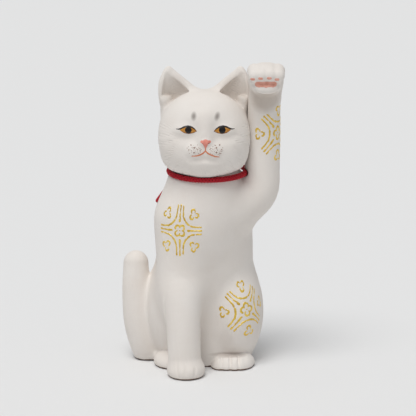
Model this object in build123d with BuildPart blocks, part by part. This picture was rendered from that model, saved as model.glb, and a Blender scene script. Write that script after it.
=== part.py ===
"""A seated beckoning cat in hand-pressed clay with a braided cord round its neck.

The cat is made the way a souvenir clay doll is: the body and the head are hollow,
each pressed in a front and a back half. The limbs that would lock in a mould, which
are the raised arm, the standing foreleg, the ears and the tail, are pressed on their
own and luted on with slip. A vented plate closes the bottom, and the cord is tied
at the nape after painting.

The cat faces -Y and its raised left arm is at +X. The origin is on the surface that
it stands on. All sizes are in millimetres.
"""

from build123d import *
from math import pi, radians, tan
import os

os.makedirs("parts", exist_ok=True)

# Driving dimensions
figure_height = 179
wall = 5
body_seam_y = 8
head_seam_y = -4
plate_thickness = 4
vent_radius = 5

# The torso, as rings of (height, centre's y, half width, half depth). Its top is the neck,
# which goes up into the head as a spigot.
torso_rings = [
    (0, 16, 27, 27.5),
    (18, 16.5, 28.5, 29),
    (36, 15.5, 28.5, 29),
    (54, 13, 28.5, 28),
    (72, 9, 28.3, 26.5),
    (90, 4, 27.7, 25),
    (108, 0, 23, 22),
    (126, -5, 14, 14),
]

# Rounded forms, each a centre and its three radii
left_haunch = ((18.4, 10, 29), (16.2, 27, 31))
right_haunch = ((-17.8, 10, 31), (16.4, 27, 31))
left_hind_foot = ((17, -5, 2.5), (12.8, 14, 6.8))
right_hind_foot = ((-17, -4, 2.5), (12.4, 14, 6.8))
skull = ((0, -6.5, 140.5), (26.2, 23, 21.5))
muzzle = ((0.3, -25.5, 132.5), (11, 6.5, 8))
right_cheek = ((-10.5, -10.5, 132), (14.5, 17.5, 15))
left_cheek = ((10.5, -10.5, 132), (14.5, 17.5, 15))
front_paw = ((-10.4, -27, 4), (10.9, 13, 7.6))
raised_paw = ((35, -12.5, 168), (10.5, 14, figure_height - 168))

# Tapered limbs, each (start, radius there, end, radius there)
foreleg = ((-13.5, -12, 72), 12, (-11.8, -26.5, 8), 9.4)
upper_arm = ((17, 1, 95), 13, (34.2, -3, 102), 9.2)
forearm = ((34.2, -3, 102), 9.2, (35.2, -6, 162), 8.8)
tail_bones = [
    ((-8, 36, 9), 8.5, (-25, 31, 8), 8),
    ((-25, 31, 8), 8, (-34.5, 10, 7.6), 7.4),
    ((-34.5, 10, 7.6), 7.4, (-39.6, 9, 30), 7.4),
    ((-39.6, 9, 30), 7.4, (-39.2, 12.5, 57), 6.4),
]

# Ears
ear_height = 25.5
ear_base_height = 150
ear_base_x = 12.5
ear_lean_x = 8
ear_half_width = 13.6
ear_half_depth = 7
ear_tip_radius = 1.4
ear_scoop = (9, 4.5, 18)

# The cord: a ring that fits round the neck, a knot at the nape and two loose ends
cord_radius = 1.5
ring_height = 115
ring_centre_y = -1.5
ring_radius = 22.2
knot_centre = (-4, 23.3, 114.6)
knot_radii = (4.4, 3.4, 3.8)
right_end_route = [
    (-6.5, 24.2, 114.2),
    (-13, 22, 111.5),
    (-19.5, 17.4, 107),
    (-25.4, 12.6, 101.5),
    (-27.8, 9.6, 94.5),
]
left_end_route = [
    (-2, 24.4, 112.8),
    (3, 25.3, 108),
    (5.5, 27.3, 100),
    (4.2, 30.6, 92),
    (6.2, 33.9, 84),
    (8.6, 36.8, 77),
]
arc_share = 0.45


def ellipsoid(form, shrink=0):
    """A centre and three radii as a solid, with every radius less shrink."""
    centre, radii = form
    with BuildPart() as solid:
        Sphere(1)
        scale(by=tuple(radius - shrink for radius in radii))
    return solid.part.moved(Location(centre))


def limb(start, start_radius, end, end_radius):
    """A tapered limb with a round end at each of its two points."""
    direction = Vector(*end) - Vector(*start)
    length = direction.length
    with BuildPart() as solid:
        with BuildSketch(Plane.XZ):
            with BuildLine():
                CenterArc((0, 0), start_radius, -90, 90)
                Line((start_radius, 0), (end_radius, length))
                CenterArc((0, length), end_radius, 0, 90)
                Line((0, length + end_radius), (0, -start_radius))
            make_face()
        revolve(axis=Axis.Z)
    return solid.part.moved(Plane(origin=start, z_dir=direction).location)


def torso(shrink=0):
    """The trunk with its neck, with every ring drawn in by shrink."""
    with BuildPart() as solid:
        for height, centre_y, half_width, half_depth in torso_rings:
            with BuildSketch(Plane((0, centre_y, height))):
                Ellipse(half_width - shrink, half_depth - shrink)
        loft()
    return solid.part


def ear(side):
    """A cupped ear on the side given by the sign, standing in the head."""
    foot = Plane((side * ear_base_x, skull[0][1] + 5, ear_base_height))
    tip = Plane((side * (ear_base_x + ear_lean_x), skull[0][1] + 7, ear_base_height + ear_height))
    with BuildPart() as solid:
        with BuildSketch(foot):
            Ellipse(ear_half_width, ear_half_depth)
        with BuildSketch(tip):
            Ellipse(ear_tip_radius * 1.5, ear_tip_radius)
        loft()
        add(ellipsoid((foot.origin + Vector(0, -ear_half_depth, 2), ear_scoop)), mode=Mode.SUBTRACT)
    return solid.part


def loose_end(route):
    """A loose end of the cord: straight runs joined by arcs as large as they allow."""
    points = [Vector(*point) for point in route]
    runs = [(after - before) for before, after in zip(points, points[1:])]
    radii = []
    for before, after in zip(runs, runs[1:]):
        half_turn = radians(before.get_angle(after) / 2)
        radii.append(arc_share * min(before.length, after.length) / tan(half_turn))
    with BuildPart() as solid:
        with BuildLine() as path:
            FilletPolyline(*points, radius=radii)
        with BuildSketch(Plane(origin=points[0], z_dir=runs[0])):
            Circle(cord_radius)
        sweep()
    length = sum(edge.length for edge in path.edges())
    ratio = solid.part.volume / (pi * cord_radius**2 * length)
    print("length", round(length, 1), "radii", [round(r, 1) for r in radii], "volume", round(ratio, 4))
    return solid.part


# The body, hollow, with the haunches and the hind feet
with BuildPart() as body_outside:
    add(torso())
    for form in (left_haunch, right_haunch, left_hind_foot, right_hind_foot):
        add(ellipsoid(form))
    split(bisect_by=Plane.XY, keep=Keep.TOP)

with BuildPart() as body_hollow:
    add(torso(wall))
    for form in (left_haunch, right_haunch):
        add(ellipsoid(form, wall))

with BuildPart() as body_shell:
    add(body_outside)
    add(body_hollow, mode=Mode.SUBTRACT)

with BuildPart() as body_front_shell:
    add(body_shell)
    split(bisect_by=Plane.XZ.offset(-body_seam_y), keep=Keep.TOP)

with BuildPart() as body_back_shell:
    add(body_shell)
    split(bisect_by=Plane.XZ.offset(-body_seam_y), keep=Keep.BOTTOM)

# The plate that closes the bottom, with the hole that lets the kiln's steam out
with BuildPart() as base_plate:
    add(torso(wall))
    split(bisect_by=Plane.XY.offset(plate_thickness), keep=Keep.BOTTOM)
    with Locations((0, torso_rings[0][1], plate_thickness)):
        Hole(vent_radius)

# The head, hollow, which sits on the neck's spigot
with BuildPart() as head_outside:
    for form in (skull, muzzle, right_cheek, left_cheek):
        add(ellipsoid(form))

with BuildPart() as head_shell:
    add(head_outside)
    add(ellipsoid(skull, wall), mode=Mode.SUBTRACT)
    add(torso(), mode=Mode.SUBTRACT)

with BuildPart() as head_front_shell:
    add(head_shell)
    split(bisect_by=Plane.XZ.offset(-head_seam_y), keep=Keep.TOP)

with BuildPart() as head_back_shell:
    add(head_shell)
    split(bisect_by=Plane.XZ.offset(-head_seam_y), keep=Keep.BOTTOM)

# The pieces that are luted on
with BuildPart() as right_ear:
    add(ear(-1))
    add(head_outside, mode=Mode.SUBTRACT)

with BuildPart() as left_ear:
    add(ear(1))
    add(head_outside, mode=Mode.SUBTRACT)

with BuildPart() as raised_arm:
    add(limb(*upper_arm))
    add(limb(*forearm))
    add(ellipsoid(raised_paw))
    add(body_outside, mode=Mode.SUBTRACT)
    add(head_outside, mode=Mode.SUBTRACT)
    add(left_ear, mode=Mode.SUBTRACT)

with BuildPart() as standing_foreleg:
    add(limb(*foreleg))
    add(ellipsoid(front_paw))
    add(body_outside, mode=Mode.SUBTRACT)
    split(bisect_by=Plane.XY, keep=Keep.TOP)

with BuildPart() as tail:
    for bone in tail_bones:
        add(limb(*bone))
    add(body_outside, mode=Mode.SUBTRACT)
    split(bisect_by=Plane.XY, keep=Keep.TOP)

# The cord
knot_form = ellipsoid((knot_centre, knot_radii))
with BuildPart() as collar_knot:
    add(knot_form)

with BuildPart() as collar_cord:
    with BuildSketch(Plane.XZ.offset(-ring_centre_y)):
        with Locations((ring_radius, ring_height)):
            Circle(cord_radius)
    revolve(axis=Axis((0, ring_centre_y, 0), (0, 0, 1)))
    add(knot_form, mode=Mode.SUBTRACT)

with BuildPart() as right_cord_end:
    add(loose_end(right_end_route))
    add(knot_form, mode=Mode.SUBTRACT)

with BuildPart() as left_cord_end:
    add(loose_end(left_end_route))
    add(knot_form, mode=Mode.SUBTRACT)

pieces = {
    "body_front_shell": body_front_shell,
    "body_back_shell": body_back_shell,
    "base_plate": base_plate,
    "head_front_shell": head_front_shell,
    "head_back_shell": head_back_shell,
    "right_ear": right_ear,
    "left_ear": left_ear,
    "raised_arm": raised_arm,
    "standing_foreleg": standing_foreleg,
    "tail": tail,
    "collar_cord": collar_cord,
    "collar_knot": collar_knot,
    "right_cord_end": right_cord_end,
    "left_cord_end": left_cord_end,
}
for name, piece in pieces.items():
    piece.part.label = name
    export_step(piece.part, f"parts/{name}.step")
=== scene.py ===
"""The painted surface, gilding, eyes and braided cord of a beckoning cat in clay.

The clay is modelled as a distance field in millimetres, blended from rounded forms, and
then cut along the joins of the CAD model into the pieces that stand for its nodes. Gilding
and most of the paint are thin raised films that are cast onto the clay.
"""

import math

import bmesh
import bpy
import numpy as np
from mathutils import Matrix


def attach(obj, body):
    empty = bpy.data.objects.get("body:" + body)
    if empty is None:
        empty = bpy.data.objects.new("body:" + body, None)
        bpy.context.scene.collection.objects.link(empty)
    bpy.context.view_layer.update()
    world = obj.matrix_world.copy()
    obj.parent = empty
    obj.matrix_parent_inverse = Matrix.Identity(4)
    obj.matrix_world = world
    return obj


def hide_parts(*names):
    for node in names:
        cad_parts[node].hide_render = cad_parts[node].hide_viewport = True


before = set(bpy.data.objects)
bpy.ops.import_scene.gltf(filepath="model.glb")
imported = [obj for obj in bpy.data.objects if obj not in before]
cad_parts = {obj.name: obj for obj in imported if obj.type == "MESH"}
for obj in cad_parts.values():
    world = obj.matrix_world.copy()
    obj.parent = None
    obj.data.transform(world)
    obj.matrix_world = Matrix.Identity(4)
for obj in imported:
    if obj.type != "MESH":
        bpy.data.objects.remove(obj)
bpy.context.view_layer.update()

import openvdb
from mathutils import Euler, Matrix, Vector
from mathutils.bvhtree import BVHTree

MM = 0.001
ROOT = "root"
COARSE = 1.0
FAR = 50  # a distance that stands for nothing near
CAMERA_TARGET = (2, 0, 92.2)
CAMERA_DISTANCE = 1.2
CAMERA_ELEVATION = 12
CAMERA_LENS = 180
FLOOR_SIDE = 8
FLOOR_WHITE = (0.8, 0.8, 0.8)
KEY_STRENGTH = 1.58
KEY_SPREAD = 30
KEY_COLOUR = (1, 0.995, 0.985)
KEY_FROM = (-0.18, -0.38, 0.9)
ROOM_TOP = (0.66, 0.668, 0.675)
ROOM_SIDES = (0.22, 0.222, 0.225)


def new_object(name, data):
    thing = bpy.data.objects.new(name, data)
    bpy.context.scene.collection.objects.link(thing)
    return thing


# ---------------- camera, light, floor


def make_camera():
    """A long lens in front of the cat and a little above it."""
    data = bpy.data.cameras.new("camera")
    data.sensor_width = 36
    data.lens = CAMERA_LENS
    data.clip_end = 20
    camera = new_object("camera", data)
    angle = math.radians(CAMERA_ELEVATION)
    back = Vector((0, -math.cos(angle), math.sin(angle)))
    camera.location = Vector(CAMERA_TARGET) * MM + back * CAMERA_DISTANCE
    camera.rotation_euler = (-back).to_track_quat("-Z", "Y").to_euler()
    bpy.context.scene.camera = camera
    bpy.context.scene.view_settings.view_transform = "Standard"


def make_stage():
    """A plain pale floor and soft studio light from above, in front and a little to the left."""
    mesh = bpy.data.meshes.new("floor")
    side = FLOOR_SIDE
    corners = [(-side, -side, 0), (side, -side, 0), (side, side, 0), (-side, side, 0)]
    mesh.from_pydata(corners, [], [(0, 1, 2, 3)])
    floor = new_object("floor", mesh)
    material, shader = new_material("floor_paper", 0.95)
    shader.inputs["Base Color"].default_value = (*FLOOR_WHITE, 1)
    mesh.materials.append(material)
    data = bpy.data.lights.new("soft_key", "SUN")
    data.energy = KEY_STRENGTH
    data.angle = math.radians(KEY_SPREAD)
    data.color = KEY_COLOUR
    key = new_object("soft_key", data)
    key.rotation_euler = Vector(KEY_FROM).to_track_quat("Z", "Y").to_euler()
    world = bpy.data.worlds.new("studio")
    world.use_nodes = True
    nodes, links = world.node_tree.nodes, world.node_tree.links
    direction = nodes.new("ShaderNodeTexCoord")
    axes = nodes.new("ShaderNodeSeparateXYZ")
    ramp = nodes.new("ShaderNodeValToRGB")
    links.new(direction.outputs["Generated"], axes.inputs["Vector"])
    links.new(axes.outputs["Z"], ramp.inputs["Fac"])
    ramp.color_ramp.elements[0].color = (*ROOM_SIDES, 1)
    ramp.color_ramp.elements[1].color = (*ROOM_TOP, 1)
    links.new(ramp.outputs["Color"], nodes["Background"].inputs["Color"])
    bpy.context.scene.world = world


# ---------------- materials


def new_material(name, roughness, specular=0.3):
    material = bpy.data.materials.new(name)
    material.use_nodes = True
    shader = material.node_tree.nodes["Principled BSDF"]
    shader.inputs["Roughness"].default_value = roughness
    shader.inputs["Specular IOR Level"].default_value = specular
    return material, shader


class Recipe:
    """Shorthand for the nodes of one material."""

    def __init__(self, name, roughness, specular=0.3, metallic=0):
        self.material, self.shader = new_material(name, roughness, specular)
        self.nodes = self.material.node_tree.nodes
        self.links = self.material.node_tree.links
        self.shader.inputs["Metallic"].default_value = metallic
        self.place = self.nodes.new("ShaderNodeTexCoord").outputs["Object"]

    def node(self, kind, inputs, setting=None, value=None):
        """A node's outputs. Its inputs get plain values, or links to other nodes' outputs."""
        node = self.nodes.new("ShaderNode" + kind)
        if setting:
            setattr(node, setting, value)
        for name, content in inputs.items():
            if hasattr(content, "is_linked"):
                self.links.new(content, node.inputs[name])
            else:
                node.inputs[name].default_value = content
        return node.outputs

    def noise(self, scale, detail=3, place=None, roughness=0.5):
        inputs = {"Scale": scale, "Detail": detail, "Roughness": roughness}
        return self.node("TexNoise", {**inputs, "Vector": place or self.place})["Fac"]

    def remap(self, value, low, high, to_low=0, to_high=1):
        ends = {"From Min": low, "From Max": high, "To Min": to_low, "To Max": to_high}
        return self.node("MapRange", {"Value": value, **ends})["Result"]

    def sum(self, one, other, operation="ADD"):
        return self.node("Math", {0: one, 1: other}, "operation", operation)["Value"]

    def mix(self, factor, one, other):
        one, other = ((*c, 1) if isinstance(c, tuple) else c for c in (one, other))
        inputs = {"Factor": factor, "A": one, "B": other}
        return self.node("Mix", inputs, "data_type", "RGBA")["Result"]

    def spot(self, centre, radii, lean=0):
        """1 at the centre of an ellipsoid in millimetres, and 0 outside it."""
        inputs = {
            "Location": [c * MM for c in centre],
            "Rotation": (0, math.radians(lean), 0),
            "Scale": [r * MM for r in radii],
            "Vector": self.place,
        }
        place = self.node("Mapping", inputs, "vector_type", "TEXTURE")["Vector"]
        return self.node("TexGradient", {"Vector": place}, "gradient_type", "SPHERICAL")["Fac"]

    def finish(self, colour, height, depth):
        """depth is how deep the relief is, in millimetres."""
        bump = self.node("Bump", {"Strength": 1, "Distance": depth * MM, "Height": height})
        self.links.new(colour, self.shader.inputs["Base Color"])
        self.links.new(bump["Normal"], self.shader.inputs["Normal"])
        return self.material


CLAY_LIGHT = (0.82, 0.775, 0.732)
CLAY_DARK = (0.79, 0.737, 0.688)
# the colour of the painted shade in the ear hollows and under the paw
PAINTED_SHADE_COLOUR = (0.42, 0.34, 0.275)
PAINTED_SHADE_SPOTS = (  # painted shade: darker colour in the hollows of the ears and on the wrist under the paw
    ((-17.5, -1.2, 158), (9.5, 4.4, 14), 0.45),
    ((17.5, -1.2, 158), (9.5, 4.4, 14), 0.45),
    ((34.6, -13.5, 157.5), (12, 7.5, 9), 0.5),
)
# the bare clay's brown, for the rim underneath and for the painted shade in the foot's crease
BARE_CLAY_AND_SHADE_BROWN = (0.16, 0.085, 0.05)
RAW_CLAY_HEIGHT = 0.85
# painted shade along the crease above the left hind foot
FOOT_CREASE_SHADE = ((14.6, -12.5, 7.8), (13.8, 5, 1.7))
BROWS = (((-6, -25, 150), (2.1, 6, 3.3), 6), ((7.2, -25, 150), (2.1, 6, 3.4), 20))
BROW_GREY = (0.25, 0.22, 0.2)


def clay_material():
    """Matte white paint on clay, with brush marks, soft grey brows and a bare rim underneath, and
    painted shade in the ear hollows, on the wrist and in the foot's crease.
    """
    look = Recipe("painted_clay", 0.78, 0.2)
    colour = look.mix(look.remap(look.noise(45, 4), 0.35, 0.65), CLAY_DARK, CLAY_LIGHT)
    grain = look.noise(1500, 2)
    colour = look.mix(look.remap(grain, 0.62, 0.8, 0, 0.35), colour, CLAY_DARK)
    for brow in BROWS:
        colour = look.mix(look.remap(look.spot(*brow), 0.1, 0.75, 0, 0.8), colour, BROW_GREY)
    level = look.node("SeparateXYZ", {"Vector": look.place})["Z"]
    rim = look.sum(level, look.remap(look.noise(300, 2), 0.3, 0.7, -0.0002, 0.0002))
    bare = look.remap(rim, RAW_CLAY_HEIGHT * MM, (RAW_CLAY_HEIGHT + 0.25) * MM, 1, 0)
    colour = look.mix(bare, colour, BARE_CLAY_AND_SHADE_BROWN)
    # painted shade: the crease over the left hind foot is darkened towards the bare clay's brown
    crease_shade = look.remap(look.spot(*FOOT_CREASE_SHADE), 0, 0.7, 0, 0.5)
    colour = look.mix(crease_shade, colour, BARE_CLAY_AND_SHADE_BROWN)
    # painted shade: the ear hollows and the wrist under the paw are darkened
    for centre, radii, depth in PAINTED_SHADE_SPOTS:
        shade = look.remap(look.spot(centre, radii), 0, 0.5, 0, depth)
        colour = look.mix(shade, colour, PAINTED_SHADE_COLOUR)
    upright = look.node("Mapping", {"Scale": (1300, 1300, 260), "Vector": look.place})["Vector"]
    streaks = look.noise(1, 3, upright, 0.6)
    height = look.sum(streaks, look.sum(grain, 0.5, "MULTIPLY"))
    return look.finish(colour, height, 0.09)


def bare_clay_material():
    """Raw fired clay, for the base plate."""
    look = Recipe("bare_clay", 0.9, 0.15)
    cloudy = look.remap(look.noise(160, 5), 0.3, 0.7)
    colour = look.mix(cloudy, (0.2, 0.105, 0.06), (0.34, 0.19, 0.11))
    grit = look.noise(1800, 3)
    colour = look.mix(look.remap(grit, 0.66, 0.72), colour, (0.5, 0.38, 0.28))
    return look.finish(colour, grit, 0.2)


def paint_material(name, dark, light, roughness, metallic=0, scale=500, specular=0.4):
    """Brushed paint, whose colour wavers between two shades."""
    look = Recipe(name, roughness, specular, metallic)
    wavering = look.noise(scale, 3)
    colour = look.mix(look.remap(wavering, 0.35, 0.65), dark, light)
    return look.finish(colour, look.noise(scale * 4, 2), 0.03)


def cord_material():
    """Red yarn, with painted shade in the crevices between the strands."""
    look = Recipe("red_cord", 0.7, 0.25)
    look.shader.inputs["Sheen Weight"].default_value = 0.25
    look.shader.inputs["Sheen Roughness"].default_value = 0.5
    look.shader.inputs["Sheen Tint"].default_value = (0.9, 0.3, 0.3, 1)
    yarn = look.noise(5200, 3)
    colour = look.mix(look.remap(yarn, 0.35, 0.7), (0.3, 0.001, 0.008), (0.62, 0.008, 0.028))
    # painted shade: ambient occlusion darkens the yarn almost to black in the crevices
    open_air = look.node("AmbientOcclusion", {"Distance": 0.9 * MM}, "samples", 8)["AO"]
    colour = look.mix(look.remap(open_air, 0.25, 0.8), (0.02, 0.0005, 0.001), colour)
    return look.finish(colour, yarn, 0.1)


# ---------------- the distance field


def soft_union(one, other, width):
    """The smaller of two distances, with a rounded corner of the given width."""
    h = np.maximum(width - np.abs(one - other), 0) / width
    return np.minimum(one, other) - h * h * width / 4


class Form:
    """A rounded form: a box that holds it, and its distance function."""

    def __init__(self, low, high, distance):
        self.low = np.array(low, float)
        self.high = np.array(high, float)
        self.distance = distance


def ellipsoid(centre, radii, turn=(0, 0, 0)):
    """An ellipsoid, turned by degrees about X, Y and Z."""
    centre = np.array(centre, float)
    radii = np.array(radii, float)
    axes = np.array(Euler([math.radians(t) for t in turn]).to_matrix())

    def distance(x, y, z):
        x, y, z = x - centre[0], y - centre[1], z - centre[2]
        near, far = 0, 0
        for i in range(3):
            along = axes[0, i] * x + axes[1, i] * y + axes[2, i] * z
            near = near + (along / radii[i]) ** 2
            far = far + (along / radii[i] ** 2) ** 2
        near = np.sqrt(near)
        return near * (near - 1) / np.maximum(np.sqrt(far), 1e-6)

    reach = np.abs(axes) @ radii
    return Form(centre - reach, centre + reach, distance)


def mirrored(centre, radii, turn=(0, 0, 0)):
    """The same ellipsoid on both sides of the middle."""
    x, y, z = centre
    rx, ry, rz = turn
    return [
        ellipsoid((side * x, y, z), radii, (rx, side * ry, side * rz)) for side in (-1, 1)
    ]


def limb(start, start_radius, end, end_radius):
    """A tapered limb with round ends."""
    a, b = np.array(start, float), np.array(end, float)
    span = b - a
    length2 = span @ span
    taper = start_radius - end_radius
    slope2 = length2 - taper * taper

    def distance(x, y, z):
        px, py, pz = x - a[0], y - a[1], z - a[2]
        t = px * span[0] + py * span[1] + pz * span[2]
        p2 = px * px + py * py + pz * pz
        off2 = np.maximum(p2 * length2 - t * t, 0)
        k = np.sign(taper) * taper * taper * off2
        side = (np.sqrt(off2 * slope2) + t * taper) / length2 - start_radius
        t1 = t - length2
        at_end = np.sqrt(np.maximum(p2 - 2 * t + length2, 0)) - end_radius
        at_start = np.sqrt(p2) - start_radius
        past = np.sign(t1) * slope2 * t1 * t1 > k
        before = np.sign(t) * slope2 * t * t < k
        return np.where(past, at_end, np.where(before, at_start, side))

    low = np.minimum(a - start_radius, b - end_radius)
    high = np.maximum(a + start_radius, b + end_radius)
    return Form(low, high, distance)


def flat_cone(start, start_radius, end, end_radius, flat):
    """A tapered limb that is flattened front to back."""
    middle = start[1]
    tip = (end[0], (end[1] - middle) / flat, end[2])
    rounded = limb((start[0], 0, start[2]), start_radius, tip, end_radius)

    def distance(x, y, z):
        return rounded.distance(x, (y - middle) / flat, z) * flat**0.5

    low, high = rounded.low.copy(), rounded.high.copy()
    low[1] = low[1] * flat + middle
    high[1] = high[1] * flat + middle
    return Form(low, high, distance)


def tube(joints, steps=5):
    """Limbs along a smooth curve through a list of (point, radius)."""
    knots = np.array([[*point, radius] for point, radius in joints], float)
    knots = np.vstack([2 * knots[0] - knots[1], knots, 2 * knots[-1] - knots[-2]])
    path = []
    for before, one, other, after in zip(knots, knots[1:], knots[2:], knots[3:]):
        for t in np.arange(steps) / steps:
            path.append(
                one
                + t * (other - before) / 2
                + t**2 * (before - 2.5 * one + 2 * other - after / 2)
                + t**3 * (1.5 * (one - other) + (after - before) / 2)
            )
    path.append(knots[-2])
    return [limb(p[:3], p[3], q[:3], q[3]) for p, q in zip(path, path[1:])]


def smooth_steps(at, values, where):
    """Values at heights, read at other heights along a smooth curve."""
    at, values = np.array(at, float), np.array(values, float)
    slopes = np.gradient(values, at)
    i = np.clip(np.searchsorted(at, where) - 1, 0, len(at) - 2)
    h = at[i + 1] - at[i]
    t = np.clip((where - at[i]) / h, 0, 1)
    a, b = values[i], values[i + 1]
    ma, mb = slopes[i] * h, slopes[i + 1] * h
    return (
        (1 + 2 * t) * (1 - t) ** 2 * a
        + t * (1 - t) ** 2 * ma
        + t * t * (3 - 2 * t) * b
        + t * t * (t - 1) * mb
    )


def trunk(rings):
    """Rings of (height, centre's y, half width, half depth), smoothly joined."""
    heights, centres, widths, depths = (list(column) for column in zip(*rings))

    def distance(x, y, z):
        centre, width, depth = (
            smooth_steps(heights, values, z.ravel()).reshape(z.shape)
            for values in (centres, widths, depths)
        )
        y = y - centre
        near = np.sqrt((x / width) ** 2 + (y / depth) ** 2)
        far = np.sqrt((x / width**2) ** 2 + (y / depth**2) ** 2)
        around = near * (near - 1) / np.maximum(far, 1e-6)
        return np.maximum(around, z - heights[-1])

    reach = max(widths), max(c + d for c, d in zip(centres, depths))
    low = (-reach[0], min(c - d for c, d in zip(centres, depths)), heights[0])
    return Form(low, (reach[0], reach[1], heights[-1]), distance)


class Clay:
    """A block of voxels that holds the distance to the clay's surface."""

    def __init__(self, low, high, voxel, margin=0):
        self.margin = margin
        self.low = np.array(low, float)
        self.high = np.array(high, float)
        self.voxel = voxel * COARSE
        size = np.ceil((self.high - self.low) / self.voxel).astype(int) + 1
        self.field = np.full(size, FAR, np.float32)

    def blank(self, margin=0):
        """An empty block of the same size, whose forms are worked out as far off as margin."""
        return Clay(self.low, self.high, self.voxel / COARSE, margin)

    def window(self, low, high):
        """The voxels in a box: their place in the field, and their coordinates."""
        first = np.floor((low - self.low) / self.voxel).astype(int)
        last = np.ceil((high - self.low) / self.voxel).astype(int) + 1
        first = np.clip(first, 0, self.field.shape)
        last = np.clip(last, 0, self.field.shape)
        part = tuple(slice(i, j) for i, j in zip(first, last))
        axes = [
            (start + self.voxel * np.arange(i, j)).astype(np.float32)
            for start, i, j in zip(self.low, first, last)
        ]
        return (part, *np.ix_(*axes))

    def join(self, forms, blend=0.5, sign=1):
        """Joins forms with a rounded corner of width blend, or cuts them away where sign is -1."""
        margin = blend + 4 * self.voxel + self.margin
        for form in forms if isinstance(forms, list) else [forms]:
            part, x, y, z = self.window(form.low - margin, form.high + margin)
            if min(x.size, y.size, z.size) > 0:
                old, new = self.field[part], form.distance(x, y, z)
                self.field[part] = sign * soft_union(sign * old, new, blend)

    def cut(self, forms, blend=0.5):
        self.join(forms, blend, -1)

    def join_clay(self, other, blend):
        """Joins another block of the same size. blend may change from place to place."""
        x, y, z = self.window(self.low, self.high)[1:]
        width = blend if np.isscalar(blend) else blend(x, y, z)
        self.field = soft_union(self.field, other.field, width).astype(np.float32)

    def nearer_than(self, other):
        """A block whose inside is the space that is nearer to this form than to the other."""
        region = self.blank()
        near = np.where(self.field < FAR, self.field - other.field, FAR)
        for axis in range(3):
            for edge in (0, -1):
                np.moveaxis(near, axis, 0)[edge] = FAR
        region.field = near.astype(np.float32)
        return region

    def engrave(self, low, high, depth):
        """Takes depth(x, y, z) off the surface inside a box."""
        part, x, y, z = self.window(np.array(low, float), np.array(high, float))
        self.field[part] += depth(x, y, z)

    def stand(self):
        """Cuts the clay off at the surface that it stands on, with a slightly rounded edge."""
        z = self.window(self.low, self.high)[3]
        self.field = -soft_union(-self.field, z, SOLE_ROUNDING)

    def mesh(self, name):
        """The surface as a mesh, in metres."""
        band = 3 * self.voxel
        grid = openvdb.FloatGrid(band)
        grid.copyFromArray(np.clip(self.field, -band, band).astype(np.float32))
        points, quads = grid.convertToQuads(0.0)
        points = (points * self.voxel + self.low) * MM
        return mesh_of(name, points, quads)


def fade(low_z, low_value, high_z, high_value):
    """A blend width that goes from one value to another between two heights."""

    def width(x, y, z):
        t = np.clip((z - low_z) / (high_z - low_z), 0, 1)
        return low_value + (high_value - low_value) * t * t * (3 - 2 * t)

    return width


def mesh_of(name, points, faces):
    """A mesh from arrays of points and of faces with the same number of corners."""
    points, faces = np.asarray(points, np.float32), np.asarray(faces, np.int32)
    mesh = bpy.data.meshes.new(name)
    corners = faces.shape[1]
    mesh.vertices.add(len(points))
    mesh.vertices.foreach_set("co", points.ravel())
    mesh.loops.add(faces.size)
    mesh.loops.foreach_set("vertex_index", faces.ravel())
    mesh.polygons.add(len(faces))
    mesh.polygons.foreach_set("loop_start", np.arange(0, faces.size, corners, dtype=np.int32))
    mesh.update(calc_edges=True)
    mesh.validate()
    mesh.polygons.foreach_set("use_smooth", np.ones(len(faces), bool))
    return mesh


# ---------------- the cat's forms

TRUNK_RINGS = [
    (-8, 15.5, 27, 27),
    (0, 16, 27, 27.5),
    (18, 16.5, 28.5, 29),
    (36, 15.5, 28.5, 29),
    (54, 13, 28.3, 28),
    (72, 9, 28, 26.5),
    (90, 4, 26.8, 25),
    (108, 0, 21.8, 22),
    (126, -5, 16.6, 15),
]
RIGHT_HAUNCH = ellipsoid((-18.2, 10, 31), (16.3, 27, 31))
LEFT_HAUNCH = ellipsoid((18.2, 10, 29), (16.3, 27, 31))
FORELEG = [
    ((-13.2, -8.8, 86), 12.3),
    ((-13.7, -12.7, 58), 11.9),
    ((-13, -19.5, 44), 10.9),
    ((-12.1, -24.5, 28), 9.7),
    ((-11.4, -27, 9), 9.4),
]
FRONT_TOE_GAPS = (-15.8, -10.4, -5)
HIND_TOE_GAPS = (9.8, 14.8, 19.6, 23.8)
LEFT_FOOT = [((10.6, -12.2, 0.5), 6.9), ((19.5, -12.2, 0.7), 6.9), ((23, -6.5, 1.5), 6.3)]
TAIL = [
    ((-10, 37, 6), 9),
    ((-24, 31, 5.5), 9),
    ((-32.5, 20, 5.2), 9),
    ((-33.5, 9.5, 5.8), 9.2),
    ((-38.2, 7.8, 22), 9),
    ((-40.2, 9.4, 41), 8),
    ((-40.2, 12.4, 56.8), 7.3),
]
ARM = [
    ((18, -2, 93), 14.5),
    ((31, -3.4, 103), 11),
    ((33.2, -2.6, 118), 9.9),
    ((33.8, -2.2, 138), 9.5),
    ((34, -4.4, 156), 9.1),
]
PALM = [((34.7, -5.5, 158), 8.6), ((34.7, -8.5, 167.2), 10), ((34.7, -14.5, 168.6), 9.7)]
PAW_TOES = (28.1, 32.4, 37, 41.3)
PLATE_THICKNESS = 4
PLATE_RADII = (22, 22.5)
PLATE_CENTRE_Y = 16
PLATE_GAP = 0.3
HOLLOW_RADII = (20, 20.5, 42)
SOLE_ROUNDING = 1.6
HEAD_JOIN_Y = -4
BODY_JOIN_Y = 8
RING_CENTRE = (1.8, -1.5)
RING_HEIGHT = 114.5
RING_RADIUS = 22
RING_TILT = 1.2  # how far the ring's front hangs below its middle
RING_SEAT = 1.95  # the radius of the groove in the clay


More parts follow.
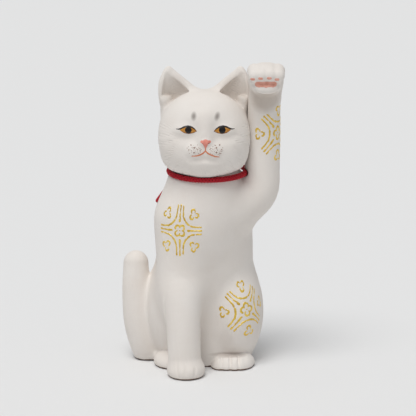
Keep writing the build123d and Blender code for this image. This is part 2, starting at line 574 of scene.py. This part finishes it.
def body_forms(clay):
    clay.join(trunk(TRUNK_RINGS))
    clay.join(ellipsoid((2, -9, 90), (16, 13.5, 22)), 10)
    clay.join([LEFT_HAUNCH, RIGHT_HAUNCH], 5)
    clay.join(ellipsoid((0, 34, 16), (17, 14, 18)), 10)
    left_foot = clay.blank()
    left_foot.join(tube(LEFT_FOOT), 0.05)
    for x in HIND_TOE_GAPS:
        left_foot.cut(tube([((x, -19.6, 0), 0.4), ((x, -18.4, 4), 0.4), ((x, -13, 7.6), 0.3)]), 0.9)
    clay.join_clay(left_foot, 0.7)
    clay.join(ellipsoid((-17, -4, 2.5), (12.6, 14, 7.6)), 0.8)
    clay.cut(limb((5, -12.9, 7.2), 0.7, (27.5, -11.6, 7.3), 0.7), 0.7)


def foreleg_forms(clay):
    leg = clay.blank(clay.margin)
    leg.join(tube(FORELEG), 0.05)
    leg.join(ellipsoid((-10.6, -27.2, 3.6), (10.9, 12.6, 8.4)), 2)
    for x in FRONT_TOE_GAPS:
        back = 1.7 * ((x + 10.4) / 5.4) ** 2
        low, middle = (x, back - 40.7, 0), (x, back - 40, 5)
        high = (x, 0.6 * back - 36.6, 11.2)
        leg.cut(tube([(low, 0.5), (middle, 0.5), (high, 0.3)]), 1.1)
    clay.join_clay(leg, 0.05)


def tail_forms(clay):
    clay.join(tube(TAIL), 0.05)


def arm_forms(clay):
    clay.join(tube(ARM), 0.05)
    paw = clay.blank(clay.margin)
    paw.join(tube(PALM), 0.05)
    paw.cut(ellipsoid((34.7, -31.5, 158.2), (17, 15.5, 14.2)), 3)
    for x in PAW_TOES:
        inner = 1 - abs(x - 34.7) / 8
        tip = (x, -20.6 - 1.2 * inner, 172 + 0.7 * inner)
        paw.join(limb((x, -12, 173.6 + inner), 4.1, tip, 3.6), 0.9)
    paw.join(ellipsoid((34.7, -19.9, 165.4), (7, 3, 3.8), (-35, 0, 0)), 1.8)
    clay.join_clay(paw, 2)


def skull_forms(clay):
    clay.join(ellipsoid((-0.3, -5, 141.4), (24.7, 22.5, 20)), 1)
    clay.join(mirrored((11.2, -10.5, 131.3), (14, 16.5, 14.4)), 8)
    clay.join(mirrored((14.6, -8, 123.6), (8.4, 12, 7.6)), 5)
    clay.join(ellipsoid((0.5, -18.2, 126), (16.8, 11.8, 12.4)), 6)
    clay.join(ellipsoid((0, 4, 127), (17.5, 14, 11)), 6)


def ear_forms(clay, side):
    clay.join(flat_cone((side * 11.6, 2.5, 150), 13.6, (side * 20.1, 2, 172.8), 1.5, 0.6), 0.05)
    rim = ((23.1, 0.5, 154), 2), ((23.8, 1.2, 164), 1.5), ((21, 2, 172), 1.2)
    clay.join(tube([((side * x, y, z), radius) for (x, y, z), radius in rim]), 2.5)


def ear_hollow(side):
    return flat_cone((side * 16.3, -2.9, 156.4), 8.6, (side * 21, -1, 169.6), 1.7, 0.6)


def face_forms(clay):
    clay.cut(mirrored((10.8, -31.5, 142), (9, 5.5, 5)), 6)
    clay.join(mirrored((10.2, -22.4, 141.6), (6.6, 4.5, 4)), 3)
    clay.join(limb((0.3, -22.8, 148), 4.4, (0.4, -27, 137.6), 3.5), 5)
    clay.join(ellipsoid((0.4, -29, 135.6), (3.6, 2.6, 2.5)), 1.5)
    clay.join(mirrored((4.5, -26.3, 131), (6.2, 5, 4.4)), 2)
    clay.cut(mirrored((5, -31.8, 125.6), (6, 2.4, 1.6), (0, 8, 0)), 2)
    clay.cut(limb((0.4, -31.5, 134), 0.5, (0.4, -31, 129), 0.5), 1)
    clay.join(mirrored((21, -0.6, 152.4), (3.4, 3.4, 5), (0, 12, 0)), 2)
    clay.join(mirrored((21.4, -2, 156.2), (3, 1.8, 1.7), (0, 25, 0)), 2.5)


def fur_lines(x, y, z):
    """Fine lines that fan out over the cheeks."""
    out, up = np.abs(x), z - 137
    reach = np.hypot(out, up)
    angle = np.arctan2(up, out)
    wave = np.cos(104 * angle + 1.5 * np.sin(0.5 * reach) + np.sin(9 * angle + x * 0.2))
    broken = 0.5 + 0.5 * np.sin(0.55 * reach + 23 * angle + 1.7 * np.sin(7 * angle))
    where = np.clip((reach - 13) / 5, 0, 1) * np.clip((12 - up) / 8, 0, 1)
    return 0.34 * np.maximum(wave, 0) ** 2 * broken * where * np.clip((4 - y) / 5, 0, 1)


def ear_tufts(x, y, z):
    """Slanting lines in the hollows of the ears."""
    along = z + 0.75 * np.abs(x)
    wave = np.cos(2 * math.pi * along / 1.5 + np.sin(0.9 * np.abs(x)))
    where = np.clip((np.abs(x) - 12) / 2, 0, 1) * np.clip((22.2 - np.abs(x)) / 2, 0, 1)
    where = where * np.clip((168.5 - z) / 3, 0, 1) * np.clip((y + 1) / 1.2, 0, 1)
    return 0.3 * np.maximum(wave, 0) ** 2 * where


def shape_body():
    """The body with its limbs, and the regions of it that belong to each limb."""
    clay = Clay((-50, -43, -3), (48, 49, 181), 0.55)
    body_forms(clay)
    makers = {
        "raised_arm": (arm_forms, 6, 8),
        "standing_foreleg": (foreleg_forms, fade(0, 5.5, 55, 15), 16),
        "tail": (tail_forms, 4, 6),
    }
    limbs, regions = [], {}
    for name, (forms, blend, margin) in makers.items():
        limb_clay = clay.blank(margin)
        forms(limb_clay)
        limbs.append((limb_clay, blend))
        regions[name] = limb_clay.nearer_than(clay)
    for limb_clay, blend in limbs:
        clay.join_clay(limb_clay, blend)
    clay.cut(collar_seat(), 0.6)
    clay.stand()
    clay.cut(ellipsoid((0, PLATE_CENTRE_Y, PLATE_THICKNESS), HOLLOW_RADII), 0.05)
    clay.cut(plate_seat(), 0.05)
    return clay, regions


def plate_seat():
    """The recess that the base plate lies in, a little larger than the plate."""
    wide, deep = PLATE_RADII[0] + PLATE_GAP, PLATE_RADII[1] + PLATE_GAP
    top = PLATE_THICKNESS + PLATE_GAP

    def distance(x, y, z):
        near = np.sqrt((x / wide) ** 2 + ((y - PLATE_CENTRE_Y) / deep) ** 2)
        return np.maximum((near - 1) * wide, z - PLATE_THICKNESS - PLATE_GAP / 2)

    low = (-wide, PLATE_CENTRE_Y - deep, -3)
    return Form(low, (wide, PLATE_CENTRE_Y + deep, top), distance)


def collar_seat():
    """The groove that the cord's ring lies in, between the neck and the raised arm."""
    middle = np.array((*RING_CENTRE, RING_HEIGHT))

    def distance(x, y, z):
        away = np.hypot(x - middle[0], y - middle[1]) - RING_RADIUS
        level = RING_HEIGHT + RING_TILT * (y - middle[1]) / RING_RADIUS
        return np.hypot(away, z - level) - RING_SEAT

    reach = np.array((RING_RADIUS + RING_SEAT, RING_RADIUS + RING_SEAT, RING_TILT + RING_SEAT))
    return Form(middle - reach, middle + reach, distance)


def shape_head():
    """The head with its ears, and the region of it that belongs to each ear."""
    skull = Clay((-30, -34, 112), (30, 22, 179), 0.36)
    skull_forms(skull)
    clay = skull.blank()
    clay.field = skull.field.copy()
    regions = {}
    for side, name in ((-1, "right_ear"), (1, "left_ear")):
        ear = skull.blank()
        ear_forms(ear, side)
        regions[name] = ear.nearer_than(skull)
        clay.join_clay(ear, 4)
        clay.cut(ear_hollow(side), 0.8)
    clay.join_clay(skull, 0.8)
    face_forms(clay)
    clay.engrave((-28, -34, 114), (28, 4, 150), fur_lines)
    clay.engrave((-28, -2, 158), (28, 3, 169), ear_tufts)
    clay.cut(trunk(TRUNK_RINGS), 0.2)
    return clay, regions


# ---------------- cutting it into pieces


def boolean(mesh, cutter, operation):
    """A new mesh: what is left of one closed mesh after another has cut it."""
    whole, knife = new_object("whole", mesh), new_object("knife", cutter)
    cut = whole.modifiers.new("cut", "BOOLEAN")
    cut.object = knife
    cut.operation = operation
    cut.solver = "MANIFOLD"
    seen = whole.evaluated_get(bpy.context.evaluated_depsgraph_get())
    result = bpy.data.meshes.new_from_object(seen)
    for thing in (whole, knife):
        bpy.data.objects.remove(thing)
    return result


def box_mesh(low, high):
    """A box as a mesh, from two corners in millimetres."""
    mesh = bpy.data.meshes.new("box")
    shape = bmesh.new()
    middle = (Vector(low) + Vector(high)) / 2 * MM
    size = (Vector(high) - Vector(low)) * MM
    place = Matrix.Translation(middle) @ Matrix.Diagonal((*size, 1))
    bmesh.ops.create_cube(shape, size=1, matrix=place)
    shape.to_mesh(mesh)
    shape.free()
    return mesh


def cut_apart(mesh, cutter):
    """The part of a mesh inside the cutter, and the rest of it."""
    return boolean(mesh, cutter, "INTERSECT"), boolean(mesh, cutter, "DIFFERENCE")


def read_rows(items, attribute, width, kind):
    """An attribute of all vertices or loops, in rows of width numbers."""
    values = np.empty(len(items) * width, kind)
    items.foreach_get(attribute, values)
    return values.reshape(-1, width)


def keys_of(points):
    """Points in metres as whole numbers, so that equal points can be looked up."""
    return [tuple(row) for row in np.round(points * 1e7).astype(np.int64).tolist()]


class Surface:
    """The clay's surface: a quad mesh, and a tree to cast paint onto it."""

    def __init__(self, name, clay):
        self.mesh = clay.mesh(name)
        self.points = read_rows(self.mesh.vertices, "co", 3, np.float32)
        self.normals = read_rows(self.mesh.vertices, "normal", 3, np.float32)
        self.corners = read_rows(self.mesh.loops, "vertex_index", 1, np.int32).reshape(-1, 4)
        self.tree = BVHTree.FromPolygons(self.points.tolist(), self.corners.tolist())

    def blended_normal(self, point):
        """The normal at a point that cutting has added."""
        near = self.corners[self.tree.find_nearest(point.tolist())[2]]
        weight = 1 / (np.linalg.norm(self.points[near] - point, axis=1) + 1e-7)
        blended = weight @ self.normals[near]
        return blended / max(np.linalg.norm(blended), 1e-6)

    def shade(self, mesh):
        """Shades a cut piece as the whole clay was shaded, so that its joins don't show."""
        own = read_rows(mesh.vertices, "co", 3, np.float32)
        place_of = {key: i for i, key in enumerate(keys_of(self.points))}
        shaded = np.empty_like(own)
        for i, key in enumerate(keys_of(own)):
            found = place_of.get(key)
            shaded[i] = self.blended_normal(own[i]) if found is None else self.normals[found]
        mesh.normals_split_custom_set_from_vertices(shaded.tolist())


# ---------------- paint in two dimensions


def stroke(*points):
    """A brush stroke through points, each (u, v, half width)."""

    def distance(u, v):
        nearest = np.full(np.shape(u), 1e3)
        for (u0, v0, r0), (u1, v1, r1) in zip(points, points[1:]):
            du, dv = u1 - u0, v1 - v0
            t = np.clip(((u - u0) * du + (v - v0) * dv) / (du * du + dv * dv), 0, 1)
            away = np.hypot(u - u0 - t * du, v - v0 - t * dv) - r0 - t * (r1 - r0)
            nearest = np.minimum(nearest, away)
        return nearest

    return distance


def disc(u0, v0, radius):
    return lambda u, v: np.hypot(u - u0, v - v0) - radius


def together(*shapes):
    return lambda u, v: np.min([shape(u, v) for shape in shapes], axis=0)


def shared(*shapes):
    """What all of the shapes have in common."""
    return lambda u, v: np.max([shape(u, v) for shape in shapes], axis=0)


def petal(angle, away, radius, centre, width, turn):
    """The outline of a petal: an open loop that faces away from the flower's middle."""
    angle = math.radians(angle)
    cu = centre[0] + away * math.cos(angle)
    cv = centre[1] + away * math.sin(angle)
    points = []
    for step in np.linspace(-turn, turn, 13):
        at = angle + math.radians(step)
        swell = width * (0.8 + 0.35 * math.cos(math.radians(step)))
        points.append((cu + radius * math.cos(at), cv + radius * math.sin(at), swell))
    return stroke(*points)


LATTICE_SPOKE = ((0, 5.6, 0.8), (0, 7.2, 0.6), (0, 11, 0.34), (0, 14.3, 0.55))
LATTICE_BOW = (
    (2, 14, 0.55),
    (2.1, 11, 0.42),
    (2.4, 8, 0.54),
    (3.6, 5.5, 0.58),
    (5.5, 3.6, 0.58),
    (8, 2.4, 0.54),
    (11, 2.1, 0.42),
    (14, 2, 0.55),
)
LATTICE_LEAF = (9.3, 9.3)


def flower_lattice():
    """A round lattice of brushed lines with a flower at its middle and four between its arms."""
    shapes = [petal(45 + 90 * i, 2.15, 1.5, (0, 0), 0.58, 130) for i in range(4)] + [disc(0, 0, 0.5)]
    for i in range(4):
        turn = math.radians(90 * i)
        c, s = math.cos(turn), math.sin(turn)
        for line in (LATTICE_SPOKE, LATTICE_BOW):
            shapes.append(stroke(*[(u * c - v * s, u * s + v * c, r) for u, v, r in line]))
        u, v = LATTICE_LEAF
        leaf = (u * c - v * s, u * s + v * c)
        outward = math.degrees(math.atan2(leaf[1], leaf[0]))
        for lean in (0, 120, 240):
            shapes.append(petal(outward + 180 + lean, 1.85, 1.25, leaf, 0.56, 120))
    lattice = together(*shapes)

    def brushed(u, v):
        tremble = np.sin(2.1 * u + 1.3 * np.sin(1.7 * v)) * np.sin(2.4 * v + 0.8 * np.sin(1.9 * u))
        dry = np.maximum(np.sin(1.3 * u - 0.9 * v + 2) * np.sin(1.1 * v + 0.7 * u), 0.55) - 0.55
        return lattice(u, v) + 0.1 * tremble + 0.9 * dry

    return brushed


# ---------------- paint on the clay


def from_front(u, v):
    """Rays that fall on the clay from the front: u is x, and v is z."""
    start = np.stack([u, np.full_like(u, -60), v], -1)
    return start, np.broadcast_to([0, 1.0, 0], start.shape)


def around(axis, radius, angle, height, turn=0):
    """Rays towards an upright axis (x, y), for paint that wraps around it."""
    c, s = math.cos(math.radians(turn)), math.sin(math.radians(turn))

    def place(u, v):
        across, up = u * c - v * s, u * s + v * c
        at = math.radians(angle) + across / radius
        away = np.stack([np.sin(at), -np.cos(at), np.zeros_like(at)], -1)
        middle = np.stack([np.full_like(at, axis[0]), np.full_like(at, axis[1]), height + up], -1)
        return middle + away * (radius + 25), -away

    return place


def snapped(shape, u, v, rim, cell):
    """Grid points, with those of the rim moved onto the shape's outline."""
    step = 0.02
    depth = shape(u, v)
    slope_u = (shape(u + step, v) - depth) / step
    slope_v = (shape(u, v + step) - depth) / step
    steep = np.maximum(slope_u**2 + slope_v**2, 0.25)
    shift = np.where(rim, np.clip(depth, -0.7 * cell, 0.7 * cell) / steep, 0)
    return u - shift * slope_u, v - shift * slope_v


def open_edges(quads):
    """The edges that belong to one quad only."""
    edges = {edge for quad in quads.tolist() for edge in zip(quad, quad[1:] + quad[:1])}
    return sorted((a, b) for a, b in edges if (b, a) not in edges)


def paint(name, surface, shape, place, low, high, material, cell=0.22, height=0.1, edge=0.5):
    """A thin closed film on the clay, where shape(u, v) is negative.

    It is height thick, and thins out within edge of its outline.
    """
    cell *= COARSE
    axes = [np.arange(low[i], high[i] + cell, cell) for i in range(2)]
    u, v = np.meshgrid(*axes, indexing="ij")
    filled = shape(u[:-1, :-1] + cell / 2, v[:-1, :-1] + cell / 2) < 0
    beside = np.zeros((4, *u.shape), bool)
    for i, (du, dv) in enumerate(((0, 0), (1, 0), (0, 1), (1, 1))):
        beside[i, du : u.shape[0] - 1 + du, dv : u.shape[1] - 1 + dv] = filled
    used, rim = beside.any(0), beside.any(0) & ~beside.all(0)
    inside = np.where(rim, 0, np.clip(-shape(u, v) / edge, 0, 1))
    rise = height * np.sqrt(inside) + FILM_LIFT
    start, way = place(*snapped(shape, u, v, rim, cell))
    index = np.full(u.shape, -1)
    tops, bottoms = [], []
    for i, j in zip(*np.nonzero(used)):
        point = surface.tree.ray_cast((start[i, j] * MM).tolist(), way[i, j].tolist())[0]
        if point is not None:
            index[i, j] = len(tops)
            tops.append(np.array(point) - way[i, j] * rise[i, j] * MM)
            bottoms.append(np.array(point) + way[i, j] * FILM_SUNK * MM)
    quads = np.stack([index[:-1, :-1], index[1:, :-1], index[1:, 1:], index[:-1, 1:]], -1)
    quads = quads[filled & (quads >= 0).all(-1)]
    count = len(tops)
    walls = [(b, a, a + count, b + count) for a, b in open_edges(quads)]
    faces = np.vstack([quads, quads[:, ::-1] + count, np.array(walls).reshape(-1, 4)])
    add_piece(name, mesh_of(name, np.array(tops + bottoms), faces), material)


FILM_LIFT = 0.01  # how far a film's rim stands off the clay
FILM_SUNK = 0.15
FACE_MIDDLE = 0.5
EYE_ALMOND = shared(disc(9.6, 138.3, 6.15), disc(9.4, 147.7, 7.15))
EYE_PUPIL = shared(disc(9.5, 142.5, 2.05), disc(9.4, 147.7, 7.15))
EYE_LID = stroke(
    (4.9, 141.8, 0.14),
    (6.1, 143.1, 0.36),
    (7.8, 144.15, 0.48),
    (9.8, 144.5, 0.52),
    (11.8, 144.1, 0.5),
    (13.6, 143.2, 0.42),
    (15, 142.8, 0.3),
    (16.4, 142.8, 0.14),
)
EYE_UNDERLINE = stroke(
    (4.9, 141.8, 0.1),
    (6.8, 140.9, 0.18),
    (9.4, 140.45, 0.22),
    (12, 140.95, 0.18),
    (14.4, 142.5, 0.1),
)
NOSE = together(
    stroke((-1.5, 136.5, 0.8), (2.9, 136.5, 0.8)), stroke((0.6, 136, 1.9), (0.6, 132.9, 0.4))
)
NOSTRILS = together(
    stroke((-1, 135.7, 0.25), (-0.3, 135.4, 0.2)), stroke((2.6, 135.9, 0.42), (2, 135.6, 0.25))
)
LIP_MIDDLE = (0.6, 131.2, 0.36)
RIGHT_LIP = (-0.8, 129.9, 0.42), (-2.5, 129, 0.44), (-4.6, 128.4, 0.4), (-7.1, 128.2, 0.22)
LEFT_LIP = (2, 129.9, 0.42), (3.7, 129, 0.44), (6, 128, 0.4), (8.3, 127.7, 0.22)
MOUTH = together(
    stroke((0.6, 134.5, 0.32), (0.6, 131.2, 0.32)),
    stroke(LIP_MIDDLE, *RIGHT_LIP),
    stroke(LIP_MIDDLE, *LEFT_LIP),
)
TOE_PADS = (26.9, 170.6), (31.3, 171.1), (36.2, 171.3), (40.5, 170.5)
PAW_PADS = together(
    *[stroke((x - 0.6, z, 0.75), (x + 0.6, z, 0.75)) for x, z in TOE_PADS],
    stroke((29.7, 167.5, 1.5), (39, 167.6, 1.5)),
    disc(30.5, 167.2, 1.4),
    disc(34.4, 167.1, 1.4),
    disc(38.3, 167.2, 1.35),
)
SPECKS_ON_A_SIDE = 46
BIG_SPECKS = (6.2, 133.1, 0.4), (6.3, 130.4, 0.42), (8, 134.4, 0.34), (9.2, 131.8, 0.3)


def whisker_specks():
    """Small spots over both halves of the muzzle."""
    chance = np.random.default_rng(8)
    spots = []
    for side in (-1, 1):
        for _ in range(SPECKS_ON_A_SIDE):
            angle, far = chance.uniform(0, 2 * math.pi), math.sqrt(chance.uniform(0, 1))
            x = FACE_MIDDLE + side * (6.3 + 4.2 * far * math.cos(angle))
            spots.append((x, 131.6 + 3.4 * far * math.sin(angle), chance.uniform(0.11, 0.24)))
        spots += [(FACE_MIDDLE + side * x, z, radius) for x, z, radius in BIG_SPECKS]
    return together(*[disc(*spot) for spot in spots])


def on_side(shape, side):
    """The same shape on one side of the face, u being the distance from its middle."""
    return lambda x, z: shape(side * (x - FACE_MIDDLE), z)


def paint_face(head):
    """Eyes, nose, mouth and specks."""
    amber = paint_material("amber_paint", (0.4, 0.15, 0.02), (0.62, 0.3, 0.06), 0.25, scale=700)
    black = paint_material("black_paint", (0.004, 0.003, 0.003), (0.014, 0.01, 0.009), 0.22)
    brown = paint_material("brown_paint", (0.16, 0.07, 0.03), (0.3, 0.14, 0.06), 0.5)
    salmon = paint_material("salmon_paint", (0.7, 0.22, 0.17), (0.84, 0.33, 0.26), 0.6)
    red = paint_material("dark_red_paint", (0.35, 0.07, 0.05), (0.45, 0.1, 0.07), 0.6)
    coral = paint_material("coral_paint", (0.6, 0.17, 0.075), (0.74, 0.25, 0.12), 0.6)
    freckle = paint_material("freckle_paint", (0.16, 0.075, 0.05), (0.4, 0.24, 0.17), 0.7, scale=900)
    for side, name in ((-1, "right"), (1, "left")):
        box = sorted((FACE_MIDDLE + side * 4, FACE_MIDDLE + side * 17.5))
        low, high = (box[0], 139.5), (box[1], 146)
        for part, shape, colour, height in (
            ("iris", EYE_ALMOND, amber, 0.1),
            ("underline", EYE_UNDERLINE, brown, 0.13),
            ("pupil", EYE_PUPIL, black, 0.16),
            ("lid_line", EYE_LID, black, 0.2),
        ):
            shape = on_side(shape, side)
            paint(f"{name}_{part}", head, shape, from_front, low, high, colour, 0.14, height, 0.3)
    paint("nose_paint", head, NOSE, from_front, (-3, 132.5), (4.2, 138.5), salmon, 0.16, 0.12)
    paint("nostrils", head, NOSTRILS, from_front, (-2, 135), (3.5, 137), red, 0.12, 0.17)
    paint("mouth_line", head, MOUTH, from_front, (-8, 127), (9, 135.5), coral, 0.16, 0.09)
    specks = whisker_specks()
    low, high = (-11, 127), (12, 136)
    paint("whisker_specks", head, specks, from_front, low, high, freckle, 0.1, 0.05, 0.1)


def paint_body(body):
    """Three gold lattices and the pads of the raised paw."""
    gold = paint_material("gold_paint", (0.66, 0.42, 0.05), (0.92, 0.67, 0.13), 0.4, 0.5, 350)
    pink = paint_material("pad_pink", (0.72, 0.33, 0.25), (0.84, 0.44, 0.35), 0.7)
    low, high = (-16, -16), (16, 16)
    lattice = flower_lattice()
    chest = around((-4, 0), 29.5, -22.5, 84.2)
    forearm = around((33.8, -3), 9.6, 60, 137.6, 45)
    thigh = around((16, 2), 17, 27, 35.6, 52)
    for name, place in (("chest", chest), ("forearm", forearm), ("thigh", thigh)):
        paint(name + "_lattice", body, lattice, place, low, high, gold, 0.2, 0.1)
    paint("paw_pads", body, PAW_PADS, from_front, (25, 164), (43, 173), pink, 0.25, 0.12)


# ---------------- the braided cord

BRAID_PITCH = 7  # how far along the cord a strand goes once round it
STRANDS = 8
STRAND_RADIUS = 0.46
CORE_RADIUS = 0.7
STRAND_REACH = 0.88  # from the cord's middle to a strand's, on average
STRAND_WEAVE = 0.16  # how far a strand goes in and out
END_TAPER = 1.2
COLLAR_PLUMP = 1.2  # the visible cord is a little thicker where the photograph shows it thicker
END_PLUMP = 1.15
KNOT_CENTRE = (-4, 23.3, 114.6)
RIGHT_END_ROUTE = [
    (-0.0065, 0.0242, 0.1142),
    (-0.012, 0.023, 0.111),
    (-0.0175, 0.0195, 0.1055),
    (-0.0226, 0.0155, 0.0995),
    (-0.0277, 0.0114, 0.0932),
]
LEFT_END_ROUTE = [
    (-0.002, 0.0244, 0.1128),
    (0.003, 0.0253, 0.108),
    (0.0055, 0.0273, 0.1),
    (0.0042, 0.0306, 0.092),
    (0.0062, 0.0339, 0.084),
    (0.0086, 0.0368, 0.077),
]


def along_route(route):
    """Points along the smooth line of a cord that has the route's points as its control points."""
    data = bpy.data.curves.new("route", "CURVE")
    data.dimensions = "3D"
    spline = data.splines.new("NURBS")
    spline.points.add(len(route) - 1)
    for point, place in zip(spline.points, route):
        point.co = (*place, 1)
    spline.order_u = 3
    spline.use_endpoint_u = True
    spline.resolution_u = 16
    line = new_object("route", data)
    mesh = bpy.data.meshes.new_from_object(line)
    points = np.array([vertex.co for vertex in mesh.vertices])
    bpy.data.objects.remove(line)
    return points / MM


def evenly(points, spacing, closed=False):
    """The same line with evenly spaced points, and its length."""
    if closed:
        points = np.vstack([points, points[:1]])
    far = np.concatenate([[0], np.cumsum(np.linalg.norm(np.diff(points, axis=0), axis=1))])
    count = max(round(far[-1] / spacing), 8)
    at = np.linspace(0, far[-1], count + 1)
    even = np.stack([np.interp(at, far, points[:, i]) for i in range(3)], -1)
    return (even[:-1] if closed else even), far[-1]


def frames_along(points, closed):
    """Two directions across the line at each point, that don't spin round it."""
    ahead = np.roll(points, -1, 0) - np.roll(points, 1, 0)
    if not closed:
        ahead[0], ahead[-1] = points[1] - points[0], points[-1] - points[-2]
    ahead /= np.linalg.norm(ahead, axis=1)[:, None]
    side = np.cross(ahead[0], (0, 0, 1.0) if abs(ahead[0][2]) < 0.8 else (0, 1.0, 0))
    sides = []
    for direction in ahead:
        side = side - direction * (side @ direction)
        side = side / np.linalg.norm(side)
        sides.append(side)
    sides = np.array(sides)
    if closed:
        last = sides[-1] - ahead[0] * (sides[-1] @ ahead[0])
        slip = math.atan2(np.cross(sides[0], last) @ ahead[0], sides[0] @ last)
        share = -slip * np.arange(len(points)) / len(points)
        other = np.cross(ahead, sides)
        sides = sides * np.cos(share)[:, None] + other * np.sin(share)[:, None]
    return sides, np.cross(ahead, sides)


def strand(points, radius, sides, closed, faces, corners):
    """Adds one strand as a tube to the lists of corners and faces."""
    across, other = frames_along(points, closed)
    first = sum(len(block) for block in corners)
    angles = (2 * math.pi * np.arange(sides) / sides)[None, :, None]
    ring = np.cos(angles) * across[:, None] + np.sin(angles) * other[:, None]
    corners.append((points[:, None] + ring * np.reshape(radius, (-1, 1, 1))).reshape(-1, 3))
    rows = len(points) if closed else len(points) - 1
    for i in range(rows):
        here, there = first + i * sides, first + (i + 1) % len(points) * sides
        for j in range(sides):
            k = (j + 1) % sides
            faces.append((here + j, here + k, there + k, there + j))
    if not closed:
        corners.append(points[[0, -1]])
        tip = first + len(points) * sides
        last = first + (len(points) - 1) * sides
        for j in range(sides):
            k = (j + 1) % sides
            faces.append((tip, first + k, first + j))
            faces.append((tip + 1, last + j, last + k))


def braid(name, line, closed=False, plump=1):
    """A round braid of eight strands, four turning each way, over and under each other."""
    points, length = evenly(line, BRAID_PITCH / 16 * COARSE, closed)
    turns = max(round(length / BRAID_PITCH), 1) if closed else length / BRAID_PITCH
    far = np.arange(len(points)) / (len(points) if closed else len(points) - 1)
    across, other = frames_along(points, closed)
    scale = np.full(len(points), float(plump))
    if not closed:
        from_end = np.minimum(far, 1 - far) * length
        scale *= np.sqrt(np.clip(0.25 + from_end / END_TAPER, 0, 1))
    corners, faces = [], []
    strand(points, CORE_RADIUS * scale, 8, closed, faces, corners)
    for i in range(STRANDS):
        way = 1 if i % 2 else -1
        angle = way * 2 * math.pi * turns * far + 4 * math.pi / STRANDS * (i // 2)
        over = way * np.cos(STRANDS * math.pi * turns * far)
        reach = (STRAND_REACH + STRAND_WEAVE * over) * scale
        off = across * np.cos(angle)[:, None] + other * np.sin(angle)[:, None]
        middle = points + off * reach[:, None]
        strand(middle, STRAND_RADIUS * scale, 6, closed, faces, corners)
    return tube_mesh(name, np.vstack(corners), faces), points


def tube_mesh(name, points, faces):
    mesh = bpy.data.meshes.new(name)
    mesh.from_pydata((points * MM).tolist(), [], faces)
    mesh.polygons.foreach_set("use_smooth", np.ones(len(mesh.polygons), bool))
    return mesh


def knot_line():
    """The closed line of a trefoil, which looks like an overhand knot drawn tight."""
    t = np.linspace(0, 2 * math.pi, 160, endpoint=False)
    x = (np.sin(t) + 2 * np.sin(2 * t)) * 0.97
    z = (np.cos(t) - 2 * np.cos(2 * t)) * 0.76
    y = -np.sin(3 * t) * 1.5
    return np.stack([x, y, z], -1) + KNOT_CENTRE


def make_cords():
    """The two loose ends, the ring round the neck and the knot at the nape."""
    red = cord_material()
    for name, node, route, length in (
        ("right_end_braid", "right_cord_end", RIGHT_END_ROUTE, 0.0337),
        ("left_end_braid", "left_cord_end", LEFT_END_ROUTE, 0.0408),
    ):
        mesh, path = braid(name, along_route(route), plump=END_PLUMP)
        piece = add_piece(name, mesh, red, (node,))
    t = np.linspace(0, 2 * math.pi, 720, endpoint=False)
    x = RING_CENTRE[0] + RING_RADIUS * np.sin(t)
    y = RING_CENTRE[1] - RING_RADIUS * np.cos(t)
    ring = np.stack([x, y, RING_HEIGHT - RING_TILT * np.cos(t)], -1)
    for name, node, line, plump in (
        ("collar_braid", "collar_cord", ring, COLLAR_PLUMP),
        ("knot_braid", "collar_knot", knot_line(), 1),
    ):
        add_piece(name, braid(name, line, True, plump)[0], red, (node,))


# ---------------- the pieces


CLAY_NAMES = {"standing_foreleg": "foreleg"}


def add_piece(name, mesh, material, nodes=()):
    """A visible piece, which stands for the CAD nodes that it names."""
    piece = new_object(name, mesh)
    mesh.materials.clear()
    mesh.materials.append(material)
    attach(piece, ROOT)
    if nodes:
        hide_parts(*nodes)
    return piece


def make_clay(whole, shape_of_it, join_y, below, material):
    """The body or the head, cut into limbs or ears and a front and a back half."""
    clay, regions = shape_of_it()
    surface = Surface(whole, clay)
    rest = surface.mesh
    pieces = []
    for node, region in regions.items():
        piece, rest = cut_apart(rest, region.mesh("region"))
        pieces.append((CLAY_NAMES.get(node, node) + "_clay", piece, node))
    front, back = cut_apart(rest, box_mesh((-90, -90, below), (90, join_y, 200)))
    pieces.append((whole + "_front", front, whole + "_front_shell"))
    pieces.append((whole + "_back", back, whole + "_back_shell"))
    for name, mesh, node in pieces:
        surface.shade(mesh)
        add_piece(name, mesh, material, (node,))
    return surface


make_camera()
make_cords()
make_stage()
clay_paint = clay_material()
body = make_clay("body", shape_body, BODY_JOIN_Y, -20, clay_paint)
head = make_clay("head", shape_head, HEAD_JOIN_Y, 90, clay_paint)
paint_face(head)
paint_body(body)
base_plate = bpy.data.objects["base_plate"]
for socket in base_plate.material_slots:
    socket.material = bare_clay_material()
